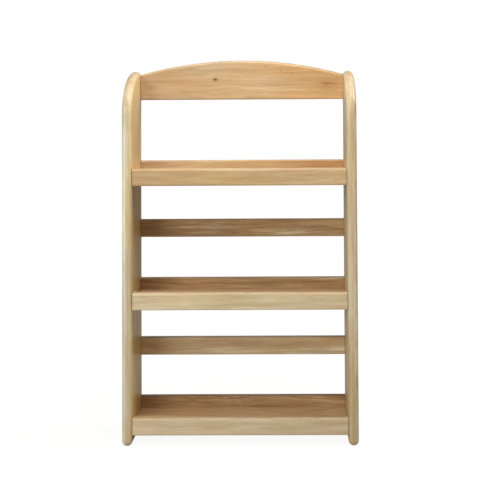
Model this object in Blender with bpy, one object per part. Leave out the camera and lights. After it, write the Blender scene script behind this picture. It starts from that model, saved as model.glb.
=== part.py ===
"""Three-tier wooden wall spice rack, as an assembly of separate boards, dowels and hanging hardware.

Frame: metres, +Z up, +X to the right seen from the front, the front faces -Y, the wall side is +Y.
Origin: centre of the rack's footprint, on the plane its side panels stand on.
"""

import math
from collections import namedtuple

import bmesh
import bpy

MM = 0.001
SIDES = ((-1, "left"), (1, "right"))  # sign along X, word used in names

# ---- overall ---------------------------------------------------------------
RACK_WIDTH = 255.0 * MM  # outside to outside of the side panels
RACK_DEPTH = 66.0 * MM  # front edge of a side panel to the wall
RACK_HEIGHT = 405.5 * MM
FRONT_Y = -RACK_DEPTH / 2
BACK_Y = RACK_DEPTH / 2

# ---- side panels -----------------------------------------------------------
PANEL_THICKNESS = 11.0 * MM
PANEL_SHOULDER = 50.0 * MM  # height of the quarter-elliptic shoulder at the top
SHOULDER_STEPS = 16
PANEL_ROUND = 5.2 * MM  # roundover along the front, shoulder and foot, almost a half-round
PANEL_FOOT_SHARE = 1.0  # of that, at the foot's front corner
PANEL_TOP_SHARE = 0.6  # of that, at the top corner by the wall
PANEL_BACK_SHARE = 0.28  # of that, along the edges that meet the wall

# ---- tiers -----------------------------------------------------------------
TIER_NAMES = ("lower", "middle", "upper")
FIRST_LIP_BOTTOM = 11.0 * MM
TIER_PITCH = 134.0 * MM

LIP_SETBACK = 2.8 * MM  # lip face behind the panels' front edges
LIP_THICKNESS = 10.0 * MM
LIP_HEIGHT = 19.0 * MM
LIP_TOP_ROUND = 3.0 * MM
LIP_BOTTOM_ROUND = 1.5 * MM

SHELF_TOP = 12.0 * MM  # shelf surface above the lip's bottom edge
SHELF_THICKNESS = 9.0 * MM
SHELF_ROUND = 0.6 * MM

# ---- rails against the wall ------------------------------------------------
RAIL_THICKNESS = 8.0 * MM
RAIL_HEIGHT = 20.0 * MM
RAIL_ROUND = 1.6 * MM
SHELF_RAIL_BOTTOM = 4.5 * MM  # rail behind a shelf, above the lip's bottom edge
STOP_RAIL_BOTTOM = 71.0 * MM  # free rail halfway up a bay, above the lip's bottom edge

TOP_RAIL_BOTTOM = 373.0 * MM
TOP_RAIL_CENTRE = 44.8 * MM  # height of the arched rail in the middle
TOP_RAIL_RADIUS = 432.0 * MM  # radius of its arched top edge
TOP_RAIL_ROUND = 2.6 * MM
ARCH_STEPS = 22

# ---- joints ----------------------------------------------------------------
GLUE_GAP = 0.3 * MM
DOWEL_IN_PANEL = 7.0 * MM
DOWEL_IN_BOARD = 10.0 * MM
DOWEL_SIDES = 12
DOWEL_CHAMFER = 0.4 * MM
THICK_DOWEL = 5.0 * MM  # diameters
THIN_DOWEL = 4.0 * MM
DOWEL_CLEARANCE = 0.35 * MM  # on the radius
BORE_END_GAP = 0.4 * MM  # bore deeper than the dowel
LIP_DOWEL_SETBACK = 0.5 * MM  # behind the middle of the lip, clear of the panel's roundover
SHELF_DOWEL_Y = (-10.0 * MM, 15.0 * MM)
PAIR_SPREAD = 10.0 * MM  # between the two dowels of a free rail
TOP_PAIR_SPREAD = 14.0 * MM
TOP_PAIR_MIDDLE = 14.5 * MM  # above the top rail's bottom edge

# ---- derived places --------------------------------------------------------
INNER_X = RACK_WIDTH / 2 - PANEL_THICKNESS
BOARD_END_X = INNER_X - GLUE_GAP
RAIL_FRONT_Y = BACK_Y - RAIL_THICKNESS
RAIL_MID_Y = BACK_Y - RAIL_THICKNESS / 2
LIP_FRONT_Y = FRONT_Y + LIP_SETBACK
LIP_BACK_Y = LIP_FRONT_Y + LIP_THICKNESS
LIP_DOWEL_Y = LIP_FRONT_Y + LIP_THICKNESS / 2 + LIP_DOWEL_SETBACK

# ---- hanging hardware ------------------------------------------------------
HANGER_X = 82.0 * MM
HANGER_Z = TOP_RAIL_BOTTOM + 17.0 * MM
HANGER_WIDTH = 42.0 * MM
HANGER_HEIGHT = 18.0 * MM
HANGER_SHEET = 1.2 * MM
HANGER_CORNER = 3.0 * MM
HANGER_CORNER_STEPS = 4
HANGER_SUNK = 0.1 * MM  # back of the plate below the rail's back
HANGER_BACK_Y = BACK_Y - HANGER_SUNK
SEAT_FLOOR_Y = HANGER_BACK_Y - HANGER_SHEET - GLUE_GAP

KEYHOLE_HEAD = 4.2 * MM  # radius of the opening for the nail head
KEYHOLE_NECK = 2.1 * MM  # half width of the slot above it
KEYHOLE_DROP = -3.2 * MM  # centre of the opening, from the plate's centre
KEYHOLE_RISE = 4.6 * MM  # centre of the slot's round end, from the plate's centre
KEYHOLE_HEAD_STEPS = 14
KEYHOLE_NECK_STEPS = 6

NAIL_ROOM_DEPTH = 5.2 * MM  # from the rail's back
NAIL_ROOM_MARGIN = 0.8 * MM  # around the keyhole's round opening
NAIL_ROOM_SHORTER = 1.2 * MM  # its round end lower than the slot's

HANGER_SCREW_X = 15.5 * MM  # either side of the plate's centre
SCREW_SIDES = 16
SCREW_HEAD_R = 2.6 * MM
SCREW_HEAD_DEPTH = 1.1 * MM
SCREW_SHANK_R = 1.2 * MM
SCREW_LENGTH = 5.4 * MM
SCREW_TIP_LENGTH = 1.6 * MM
SCREW_TAPER_SHARE = 0.92  # of the shank's radius, where the tip starts
SCREW_TIP_SHARE = 0.25  # of the shank's radius, at the end
SCREW_HOLE_R = SCREW_SHANK_R + 0.3 * MM
SINK_HEAD_R = SCREW_HEAD_R + 0.3 * MM  # countersink's radius at the plate's back
RECESS_ARM = SCREW_HEAD_R * 0.55
RECESS_HALF_WIDTH = 0.28 * MM
RECESS_DEPTH = 0.7 * MM
PILOT_SIDES = 12
PILOT_END_GAP = 0.4 * MM  # pilot hole deeper than the screw

# How far a cutter runs on, so that it never ends on the surface it cuts
WOOD_OVERRUN = 1.0 * MM
STEEL_OVERRUN = 0.5 * MM
SEAT_OVERLAP = 0.4 * MM  # into the space of the hanger's seat

Hole = namedtuple("Hole", "diameter y z")
Joint = namedtuple("Joint", "board holes dowel_name")


# ---- materials -------------------------------------------------------------
def make_material(name, colour, roughness, metallic=0.0):
    material = bpy.data.materials.new(name)
    material.use_nodes = True
    shader = material.node_tree.nodes["Principled BSDF"]
    shader.inputs["Base Color"].default_value = (*colour, 1.0)
    shader.inputs["Roughness"].default_value = roughness
    shader.inputs["Metallic"].default_value = metallic
    material.diffuse_color = (*colour, 1.0)
    return material


def make_materials():
    settings = {
        "side_panel_wood": dict(colour=(0.56, 0.40, 0.22), roughness=0.48),
        "top_rail_wood": dict(colour=(0.64, 0.41, 0.20), roughness=0.46),
        "shelf_wood": dict(colour=(0.36, 0.23, 0.12), roughness=0.50),
        "front_lip_wood": dict(colour=(0.57, 0.42, 0.24), roughness=0.45),
        "back_rail_wood": dict(colour=(0.38, 0.23, 0.11), roughness=0.50),
        "dowel_wood": dict(colour=(0.62, 0.47, 0.29), roughness=0.62),
        "hanger_steel": dict(colour=(0.55, 0.55, 0.56), roughness=0.34, metallic=1.0),
        "screw_steel": dict(colour=(0.62, 0.60, 0.52), roughness=0.30, metallic=1.0),
    }
    return {name: make_material(name, **values) for name, values in settings.items()}


# ---- objects and modifiers -------------------------------------------------
def clear_scene():
    for old in list(bpy.data.objects):
        bpy.data.objects.remove(old, do_unlink=True)


def add_object(name, shape, parent, material=None):
    """Turn a bmesh into a linked object, and free the bmesh."""
    bmesh.ops.recalc_face_normals(shape, faces=shape.faces[:])
    mesh = bpy.data.meshes.new(name)
    shape.to_mesh(mesh)
    shape.free()
    obj = bpy.data.objects.new(name, mesh)
    bpy.context.scene.collection.objects.link(obj)
    obj.parent = parent
    if material is not None:
        mesh.materials.append(material)
    return obj


def weigh_edges(shape, rule):
    """Bevel weight of each edge, from its two ends."""
    layer = shape.edges.layers.float.new("bevel_weight_edge")
    for edge in shape.edges:
        edge[layer] = rule(edge.verts[0].co, edge.verts[1].co)


def add_bevel(obj, width, segments, by_weight=True):
    bevel = obj.modifiers.new("Roundover", "BEVEL")
    bevel.width = width
    bevel.segments = segments
    bevel.limit_method = "WEIGHT" if by_weight else "ANGLE"
    if not by_weight:
        bevel.angle_limit = math.radians(60)
    bevel.use_clamp_overlap = True


def cut(target, label, name, shape, parent):
    """Subtract a shape from the target, through a hidden helper object."""
    cutter = add_object(name, shape, parent)
    boolean = target.modifiers.new(label, "BOOLEAN")
    boolean.operation = "DIFFERENCE"
    boolean.solver = "EXACT"
    boolean.object = cutter
    cutter.hide_render = True
    cutter.display_type = "WIRE"


def smooth(obj):
    obj.data.shade_smooth()
    obj.data.set_sharp_from_angle(angle=math.radians(35))


# ---- solids ----------------------------------------------------------------
def add_prism(shape, corners, sweep):
    """Closed prism: the outline's corners as one face, pulled along sweep."""
    face = shape.faces.new([shape.verts.new(corner) for corner in corners])
    pulled = bmesh.ops.extrude_face_region(shape, geom=[face])
    moved = [item for item in pulled["geom"] if isinstance(item, bmesh.types.BMVert)]
    bmesh.ops.translate(shape, verts=moved, vec=sweep)


def add_prism_y(shape, outline, y_from, y_to, centre_x=0.0, centre_z=0.0):
    """Closed prism along Y from an outline of (x, z) points."""
    corners = [(x + centre_x, y_from, z + centre_z) for x, z in outline]
    add_prism(shape, corners, (0, y_to - y_from, 0))


def add_rod_x(shape, radius, x_from, x_to, y=0.0, z=0.0):
    """Closed cylinder along X, turned half a step so that flats face up and to the front."""
    angles = [2 * math.pi * (k + 0.5) / DOWEL_SIDES for k in range(DOWEL_SIDES)]
    corners = [(x_from, y + radius * math.cos(a), z + radius * math.sin(a)) for a in angles]
    add_prism(shape, corners, (x_to - x_from, 0, 0))


def add_ring_y(shape, radius, y, centre_x=0.0):
    """Vertices of a circle across Y."""
    circle = circle_outline(radius, SCREW_SIDES)
    return [shape.verts.new((x + centre_x, y, z)) for x, z in circle]


def add_cone_y(shape, radius_from, radius_to, y_from, y_to, centre_x):
    """Closed truncated cone along Y."""
    first = shape.faces.new(add_ring_y(shape, radius_from, y_from, centre_x))
    second = shape.faces.new(add_ring_y(shape, radius_to, y_to, centre_x))
    bmesh.ops.bridge_loops(shape, edges=list(first.edges) + list(second.edges))


# ---- outlines of (x, z) points, counter-clockwise seen from -Y -------------
def circle_outline(radius, sides):
    angles = [2 * math.pi * k / sides for k in range(sides)]
    return [(radius * math.cos(angle), radius * math.sin(angle)) for angle in angles]


def plate_outline(margin=0.0):
    """The hanger's rounded rectangle, grown by a margin."""
    radius = HANGER_CORNER + margin
    reach_x = (HANGER_WIDTH + 2 * margin) / 2 - radius
    reach_z = (HANGER_HEIGHT + 2 * margin) / 2 - radius
    points = []
    for quarter, (sign_x, sign_z) in enumerate(((1, 1), (-1, 1), (-1, -1), (1, -1))):
        for k in range(HANGER_CORNER_STEPS + 1):
            angle = math.pi / 2 * (quarter + k / HANGER_CORNER_STEPS)
            points.append((
                sign_x * reach_x + radius * math.cos(angle),
                sign_z * reach_z + radius * math.sin(angle),
            ))
    return points


def keyhole_outline(head, neck, rise):
    """Keyhole: a round opening below, a narrower round-ended slot above."""
    meet = math.asin(neck / head)
    points = []
    for k in range(KEYHOLE_HEAD_STEPS + 1):
        angle = math.pi / 2 + meet + (2 * math.pi - 2 * meet) * k / KEYHOLE_HEAD_STEPS
        points.append((head * math.cos(angle), KEYHOLE_DROP + head * math.sin(angle)))
    for k in range(KEYHOLE_NECK_STEPS + 1):
        angle = math.pi * k / KEYHOLE_NECK_STEPS
        points.append((neck * math.cos(angle), rise + neck * math.sin(angle)))
    return points


# ---- side panels -----------------------------------------------------------
def panel_edge_weight(start, end):
    across = abs(start.x - end.x) > 1e-6
    at_back = start.y > BACK_Y - 1e-6 and end.y > BACK_Y - 1e-6
    if not across:
        return PANEL_BACK_SHARE if at_back else 1.0
    if at_back:
        at_top = start.z > RACK_HEIGHT - PANEL_SHOULDER
        return PANEL_TOP_SHARE if at_top else PANEL_BACK_SHARE
    return PANEL_FOOT_SHARE if start.z < 1e-6 else 0.0


def side_panel(side, word, parent, material):
    """Upright board with a quarter-elliptic shoulder from its front edge to its top corner."""
    shoulder_z = RACK_HEIGHT - PANEL_SHOULDER
    corners = [(0, FRONT_Y, 0), (0, BACK_Y, 0), (0, BACK_Y, RACK_HEIGHT)]
    for step in range(1, SHOULDER_STEPS + 1):
        angle = math.pi / 2 * (1 + step / SHOULDER_STEPS)
        y = BACK_Y + RACK_DEPTH * math.cos(angle)
        corners.append((0, y, shoulder_z + PANEL_SHOULDER * math.sin(angle)))
    shape = bmesh.new()
    add_prism(shape, corners, (PANEL_THICKNESS, 0, 0))
    weigh_edges(shape, panel_edge_weight)
    panel = add_object(word + "_side_panel", shape, parent, material)
    panel.location.x = -RACK_WIDTH / 2 if side < 0 else INNER_X
    add_bevel(panel, PANEL_ROUND, segments=5)
    smooth(panel)
    return panel


# ---- boards between the panels ---------------------------------------------
def straight_board(name, span_y, span_z, rounding, parent, material, bottom_share=1.0, segments=3):
    """Board rounded along its length only, with square ends.

    bottom_share is the part of the rounding that the two bottom edges get.
    """
    (low_y, high_y), (low_z, high_z) = span_y, span_z
    shape = bmesh.new()
    bmesh.ops.create_cube(shape, size=1.0)
    size = (2 * BOARD_END_X, high_y - low_y, high_z - low_z)
    bmesh.ops.scale(shape, vec=size, verts=shape.verts[:])

    def edge_weight(start, end):
        if abs(start.x - end.x) < 1e-6:
            return 0.0
        return 1.0 if start.z > 0 else bottom_share

    weigh_edges(shape, edge_weight)
    board = add_object(name, shape, parent, material)
    board.location = (0, (low_y + high_y) / 2, (low_z + high_z) / 2)
    add_bevel(board, rounding, segments)
    smooth(board)
    return board


def dowel_pair(middle_z, spread):
    """Holes of two thin dowels, one above the other, in a rail's end."""
    return [Hole(THIN_DOWEL, RAIL_MID_Y, middle_z + sign * spread / 2) for sign in (-1, 1)]


def front_lip(tier_name, base, parent, material):
    lip = straight_board(
        tier_name + "_front_lip", (LIP_FRONT_Y, LIP_BACK_Y), (base, base + LIP_HEIGHT),
        LIP_TOP_ROUND, parent, material, bottom_share=LIP_BOTTOM_ROUND / LIP_TOP_ROUND,
    )
    holes = [Hole(THICK_DOWEL, LIP_DOWEL_Y, base + LIP_HEIGHT / 2)]
    return Joint(lip, holes, tier_name + "_lip_dowel")


def shelf_board(tier_name, base, parent, material):
    top = base + SHELF_TOP
    shelf = straight_board(
        tier_name + "_shelf_board", (LIP_BACK_Y + GLUE_GAP, RAIL_FRONT_Y - GLUE_GAP),
        (top - SHELF_THICKNESS, top), SHELF_ROUND, parent, material, segments=1,
    )
    holes = [Hole(THICK_DOWEL, y, top - SHELF_THICKNESS / 2) for y in SHELF_DOWEL_Y]
    return Joint(shelf, holes, tier_name + "_shelf_dowel")


def straight_rail(name, bottom, parent, material):
    span_z = (bottom, bottom + RAIL_HEIGHT)
    return straight_board(name, (RAIL_FRONT_Y, BACK_Y), span_z, RAIL_ROUND, parent, material)


def shelf_back_rail(tier_name, base, parent, material):
    bottom = base + SHELF_RAIL_BOTTOM
    rail = straight_rail(tier_name + "_shelf_back_rail", bottom, parent, material)
    holes = [Hole(THIN_DOWEL, RAIL_MID_Y, bottom + RAIL_HEIGHT / 2)]
    return Joint(rail, holes, tier_name + "_back_rail_dowel")


def jar_stop_rail(tier_name, base, parent, material):
    bottom = base + STOP_RAIL_BOTTOM
    rail = straight_rail(tier_name + "_jar_stop_rail", bottom, parent, material)
    holes = dowel_pair(bottom + RAIL_HEIGHT / 2, PAIR_SPREAD)
    return Joint(rail, holes, tier_name + "_stop_rail_dowel")


def arched_top_rail(parent, material):
    """Top rail: flat lower edge and a shallow arc above, rounded along both long edges."""
    reach = math.asin(BOARD_END_X / TOP_RAIL_RADIUS)
    centre_z = TOP_RAIL_CENTRE - TOP_RAIL_RADIUS
    outline = [(-BOARD_END_X, 0), (BOARD_END_X, 0)]
    for step in range(ARCH_STEPS + 1):
        angle = reach * (1 - 2 * step / ARCH_STEPS)
        z = centre_z + TOP_RAIL_RADIUS * math.cos(angle)
        outline.append((TOP_RAIL_RADIUS * math.sin(angle), z))
    shape = bmesh.new()
    add_prism_y(shape, outline, 0, RAIL_THICKNESS)

    def edge_weight(start, end):
        along = abs(start.x - end.x) > 1e-5 and abs(start.y - end.y) < 1e-6
        return 1.0 if along else 0.0

    weigh_edges(shape, edge_weight)
    rail = add_object("arched_top_rail", shape, parent, material)
    rail.location = (0, RAIL_FRONT_Y, TOP_RAIL_BOTTOM)
    add_bevel(rail, TOP_RAIL_ROUND, segments=3)
    smooth(rail)
    holes = dowel_pair(TOP_RAIL_BOTTOM + TOP_PAIR_MIDDLE, TOP_PAIR_SPREAD)
    return Joint(rail, holes, "top_rail_dowel")


# ---- dowels and their bores ------------------------------------------------
def dowel(name, side, hole, parent, material):
    """Glued dowel lying partly in a side panel and partly in a board's end."""
    length = DOWEL_IN_PANEL + GLUE_GAP + DOWEL_IN_BOARD
    shape = bmesh.new()
    add_rod_x(shape, hole.diameter / 2, -length / 2, length / 2)
    pin = add_object(name, shape, parent, material)
    pin.location = (side * (INNER_X + DOWEL_IN_PANEL - length / 2), hole.y, hole.z)
    add_bevel(pin, DOWEL_CHAMFER, segments=1, by_weight=False)
    smooth(pin)


def bore(board, label, name, holes, side, near_x, far_x, parent):
    """Bore all the holes in one side of a board, between two distances from the middle."""
    x_from, x_to = sorted((side * near_x, side * far_x))
    shape = bmesh.new()
    for hole in holes:
        add_rod_x(shape, hole.diameter / 2 + DOWEL_CLEARANCE, x_from, x_to, hole.y, hole.z)
    cut(board, label, name, shape, parent)


def join_board(joint, parent, material):
    """Bore both ends of a board and add its dowels."""
    board, holes, dowel_name = joint
    for side, word in SIDES:
        bore(
            board, "Dowel bores " + word, f"{board.name}_bores_cut_{word}", holes, side,
            BOARD_END_X - DOWEL_IN_BOARD - BORE_END_GAP, BOARD_END_X + WOOD_OVERRUN, parent,
        )
        for number, hole in enumerate(holes, 1):
            tail = f"_{number}" if len(holes) > 1 else ""
            dowel(f"{dowel_name}_{word}{tail}", side, hole, parent, material)


def bore_panel(panel, side, holes, parent):
    bore(
        panel, "Dowel bores", panel.name + "_bores_cut", holes, side,
        INNER_X - WOOD_OVERRUN, INNER_X + DOWEL_IN_PANEL + BORE_END_GAP, parent,
    )


# ---- hanging hardware ------------------------------------------------------
def countersinks():
    """Cutter for the plate's two screw holes, widening towards its back."""
    shape = bmesh.new()
    slope = (SCREW_HEAD_R - SCREW_SHANK_R) / SCREW_HEAD_DEPTH
    wide = SINK_HEAD_R + slope * STEEL_OVERRUN
    front, neck, back = -HANGER_SHEET - STEEL_OVERRUN, -SCREW_HEAD_DEPTH, STEEL_OVERRUN
    for x in (-HANGER_SCREW_X, HANGER_SCREW_X):
        add_cone_y(shape, SCREW_HOLE_R, SCREW_HOLE_R, front, neck, x)
        add_cone_y(shape, SCREW_HOLE_R, wide, neck, back, x)
    # Weld each hole's two parts and drop the faces left inside
    bmesh.ops.remove_doubles(shape, verts=shape.verts[:], dist=1e-7)
    inside = [
        face for face in shape.faces
        if len(face.verts) > 4 and all(abs(vert.co.y - neck) < 1e-7 for vert in face.verts)
    ]
    bmesh.ops.delete(shape, geom=inside, context="FACES_ONLY")
    return shape


def hanger(side, word, parent, material):
    """Steel keyhole plate let flush into the back of the top rail."""
    name = word + "_keyhole_hanger"
    shape = bmesh.new()
    add_prism_y(shape, plate_outline(), -HANGER_SHEET, 0)
    plate = add_object(name, shape, parent, material)
    plate.location = (side * HANGER_X, HANGER_BACK_Y, HANGER_Z)

    keyhole = bmesh.new()
    outline = keyhole_outline(KEYHOLE_HEAD, KEYHOLE_NECK, KEYHOLE_RISE)
    add_prism_y(keyhole, outline, -2 * HANGER_SHEET, HANGER_SHEET)
    cut(plate, "Keyhole", name + "_keyhole_cut", keyhole, plate)
    cut(plate, "Countersinks", name + "_countersinks_cut", countersinks(), plate)


def hanger_screw(name, x, parent, material):
    """Small countersunk wood screw with a cross recess."""
    profile = (  # y, radius
        (0.0, SCREW_HEAD_R),
        (-SCREW_HEAD_DEPTH, SCREW_SHANK_R),
        (-SCREW_LENGTH + SCREW_TIP_LENGTH, SCREW_SHANK_R * SCREW_TAPER_SHARE),
        (-SCREW_LENGTH, SCREW_SHANK_R * SCREW_TIP_SHARE),
    )
    shape = bmesh.new()
    rings = [add_ring_y(shape, radius, y) for y, radius in profile]
    shape.faces.new(rings[0])
    shape.faces.new(rings[-1])
    for ring, after in zip(rings, rings[1:]):
        for k in range(SCREW_SIDES):
            following = (k + 1) % SCREW_SIDES
            shape.faces.new((ring[k], ring[following], after[following], after[k]))
    screw = add_object(name, shape, parent, material)
    screw.location = (x, HANGER_BACK_Y, HANGER_Z)

    arm, half = RECESS_ARM, RECESS_HALF_WIDTH
    cross = [
        (half, half), (arm, half), (arm, -half), (half, -half),
        (half, -arm), (-half, -arm), (-half, -half), (-arm, -half),
        (-arm, half), (-half, half), (-half, arm), (half, arm),
    ]
    recess = bmesh.new()
    add_prism_y(recess, cross, -RECESS_DEPTH, STEEL_OVERRUN)
    cut(screw, "Cross recess", name + "_recess_cut", recess, screw)
    smooth(screw)


def hanger_pockets(rail, side, word, parent):
    """Recesses in the rail's back: a seat for the plate, room for a nail head, pilot holes."""
    x = side * HANGER_X
    inner_end = SEAT_FLOOR_Y + SEAT_OVERLAP

    seat = bmesh.new()
    add_prism_y(seat, plate_outline(GLUE_GAP), SEAT_FLOOR_Y, BACK_Y + WOOD_OVERRUN, x, HANGER_Z)
    cut(rail, "Hanger seat " + word, "hanger_seat_cut_" + word, seat, parent)

    room = bmesh.new()
    outline = keyhole_outline(
        KEYHOLE_HEAD + NAIL_ROOM_MARGIN, KEYHOLE_HEAD, KEYHOLE_RISE - NAIL_ROOM_SHORTER
    )
    add_prism_y(room, outline, BACK_Y - NAIL_ROOM_DEPTH, inner_end, x, HANGER_Z)
    cut(rail, "Nail room " + word, "nail_room_cut_" + word, room, parent)

    pilots = bmesh.new()
    outline = circle_outline(SCREW_HOLE_R, PILOT_SIDES)
    pilot_end = HANGER_BACK_Y - SCREW_LENGTH - PILOT_END_GAP
    for offset in (-HANGER_SCREW_X, HANGER_SCREW_X):
        add_prism_y(pilots, outline, pilot_end, inner_end, x + offset, HANGER_Z)
    cut(rail, "Pilot holes " + word, "pilot_cut_" + word, pilots, parent)


# ---- the rack --------------------------------------------------------------
def build():
    clear_scene()
    materials = make_materials()
    rack = bpy.data.objects.new("rack", None)
    bpy.context.scene.collection.objects.link(rack)

    panels = [side_panel(side, word, rack, materials["side_panel_wood"]) for side, word in SIDES]

    joints = []
    for tier, tier_name in enumerate(TIER_NAMES):
        base = FIRST_LIP_BOTTOM + tier * TIER_PITCH
        joints.append(front_lip(tier_name, base, rack, materials["front_lip_wood"]))
        joints.append(shelf_board(tier_name, base, rack, materials["shelf_wood"]))
        joints.append(shelf_back_rail(tier_name, base, rack, materials["back_rail_wood"]))
        if tier < len(TIER_NAMES) - 1:
            joints.append(jar_stop_rail(tier_name, base, rack, materials["back_rail_wood"]))

    top = arched_top_rail(rack, materials["top_rail_wood"])
    joints.append(top)
    for side, word in SIDES:
        hanger_pockets(top.board, side, word, rack)

    for joint in joints:
        join_board(joint, rack, materials["dowel_wood"])
    all_holes = [hole for joint in joints for hole in joint.holes]
    for panel, (side, _) in zip(panels, SIDES):
        bore_panel(panel, side, all_holes, rack)

    for side, word in SIDES:
        hanger(side, word, rack, materials["hanger_steel"])
        for sign, place in ((-1, "a"), (1, "b")):
            x = side * HANGER_X + sign * HANGER_SCREW_X
            hanger_screw(f"{word}_hanger_screw_{place}", x, rack, materials["screw_steel"])


build()
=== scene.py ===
"""Looks for the wall spice rack: finely rounded boards cut around their dowels, lacquered pale hardwood, steel hangers, soft studio."""

import math
import random

import bmesh
import bpy
from mathutils import Matrix, Vector


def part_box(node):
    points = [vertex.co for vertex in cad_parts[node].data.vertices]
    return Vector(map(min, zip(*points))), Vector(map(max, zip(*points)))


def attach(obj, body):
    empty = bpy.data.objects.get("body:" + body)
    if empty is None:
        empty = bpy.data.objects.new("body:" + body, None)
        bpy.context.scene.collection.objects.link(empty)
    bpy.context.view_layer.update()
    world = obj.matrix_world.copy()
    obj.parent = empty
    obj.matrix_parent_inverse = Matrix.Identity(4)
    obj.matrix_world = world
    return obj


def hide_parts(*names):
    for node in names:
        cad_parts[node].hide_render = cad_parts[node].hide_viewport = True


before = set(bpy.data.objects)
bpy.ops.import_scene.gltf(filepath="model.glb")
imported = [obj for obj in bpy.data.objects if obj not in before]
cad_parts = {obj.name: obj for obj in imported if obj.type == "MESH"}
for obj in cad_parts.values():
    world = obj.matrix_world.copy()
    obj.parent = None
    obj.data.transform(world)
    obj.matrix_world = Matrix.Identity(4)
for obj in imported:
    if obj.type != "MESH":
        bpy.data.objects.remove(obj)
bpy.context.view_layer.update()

MM = 0.001
scene = bpy.context.scene
workshop = []  # cutters and other helpers, removed before the end


# --------------------------------------------------------------------------
# node helpers
# --------------------------------------------------------------------------
class Graph:
    """Thin wrapper that makes shader graphs readable."""

    def __init__(self, name):
        self.material = bpy.data.materials.new(name)
        self.material.use_nodes = True
        self.tree = self.material.node_tree
        self.shader = self.tree.nodes["Principled BSDF"]
        self.output = self.tree.nodes["Material Output"]
        self.column = 0

    def node(self, kind, **settings):
        made = self.tree.nodes.new(kind)
        self.column += 1
        made.location = (-220 * (self.column % 14) - 300, -180 * (self.column // 14))
        for key, value in settings.items():
            setattr(made, key, value)
        return made

    def feed(self, socket, value):
        if isinstance(value, bpy.types.NodeSocket):
            self.tree.links.new(value, socket)
        else:
            socket.default_value = value

    def math(self, operation, a, b=None, c=None, clamp=False):
        made = self.node("ShaderNodeMath", operation=operation, use_clamp=clamp)
        for socket, value in zip(made.inputs, (a, b, c)):
            if value is not None:
                self.feed(socket, value)
        return made.outputs[0]

    def add(self, a, b):
        return self.math("ADD", a, b)

    def sub(self, a, b):
        return self.math("SUBTRACT", a, b)

    def mul(self, a, b):
        return self.math("MULTIPLY", a, b)

    def spread(self, value, low, high, to_low=0.0, to_high=1.0, kind="SMOOTHSTEP"):
        made = self.node("ShaderNodeMapRange", interpolation_type=kind)
        made.clamp = True
        self.feed(made.inputs["Value"], value)
        for name, number in (("From Min", low), ("From Max", high), ("To Min", to_low), ("To Max", to_high)):
            self.feed(made.inputs[name], number)
        return made.outputs["Result"]

    def split(self, vector):
        made = self.node("ShaderNodeSeparateXYZ")
        self.feed(made.inputs[0], vector)
        return made.outputs[0], made.outputs[1], made.outputs[2]

    def join(self, x, y, z):
        made = self.node("ShaderNodeCombineXYZ")
        for socket, value in zip(made.inputs, (x, y, z)):
            self.feed(socket, value)
        return made.outputs[0]

    def noise(self, vector, scale=1.0, detail=2.0, rough=0.5, distortion=0.0):
        made = self.node("ShaderNodeTexNoise")
        made.noise_dimensions = "3D"
        self.feed(made.inputs["Vector"], vector)
        made.inputs["Scale"].default_value = scale
        made.inputs["Detail"].default_value = detail
        made.inputs["Roughness"].default_value = rough
        made.inputs["Distortion"].default_value = distortion
        return made.outputs["Fac"]

    def mix(self, factor, a, b, blend="MIX"):
        made = self.node("ShaderNodeMix", data_type="RGBA", blend_type=blend)
        made.clamp_factor = True
        self.feed(made.inputs["Factor"], factor)
        colours = [s for s in made.inputs if s.type == "RGBA"]
        for socket, value in zip(colours, (a, b)):
            if not isinstance(value, bpy.types.NodeSocket) and len(value) == 3:
                value = (*value, 1.0)
            self.feed(socket, value)
        return next(s for s in made.outputs if s.type == "RGBA")

    def bump(self, height, strength, distance, normal=None):
        made = self.node("ShaderNodeBump")
        made.inputs["Strength"].default_value = strength
        made.inputs["Distance"].default_value = distance
        self.feed(made.inputs["Height"], height)
        if normal is not None:
            self.feed(made.inputs["Normal"], normal)
        return made.outputs["Normal"]


def srgb(r, g, b):
    """Display colour, 0 to 255, as linear."""
    out = []
    for value in (r, g, b):
        value /= 255.0
        out.append(value / 12.92 if value <= 0.04045 else ((value + 0.055) / 1.055) ** 2.4)
    return tuple(out)


# --------------------------------------------------------------------------
# wood
# --------------------------------------------------------------------------
REDDEN = (0.66, 1.0, 1.36)  # how much each of R, G and B follows a darkening: dark grain is redder


def along_board(g, u, stops):
    """A colour that changes along the board: stops are (place, colour), in order."""
    colour = (*stops[0][1], 1.0)
    for (before, _), (place, following) in zip(stops, stops[1:]):
        colour = g.mix(g.spread(u, before, place), colour, following)
    return colour


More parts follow.
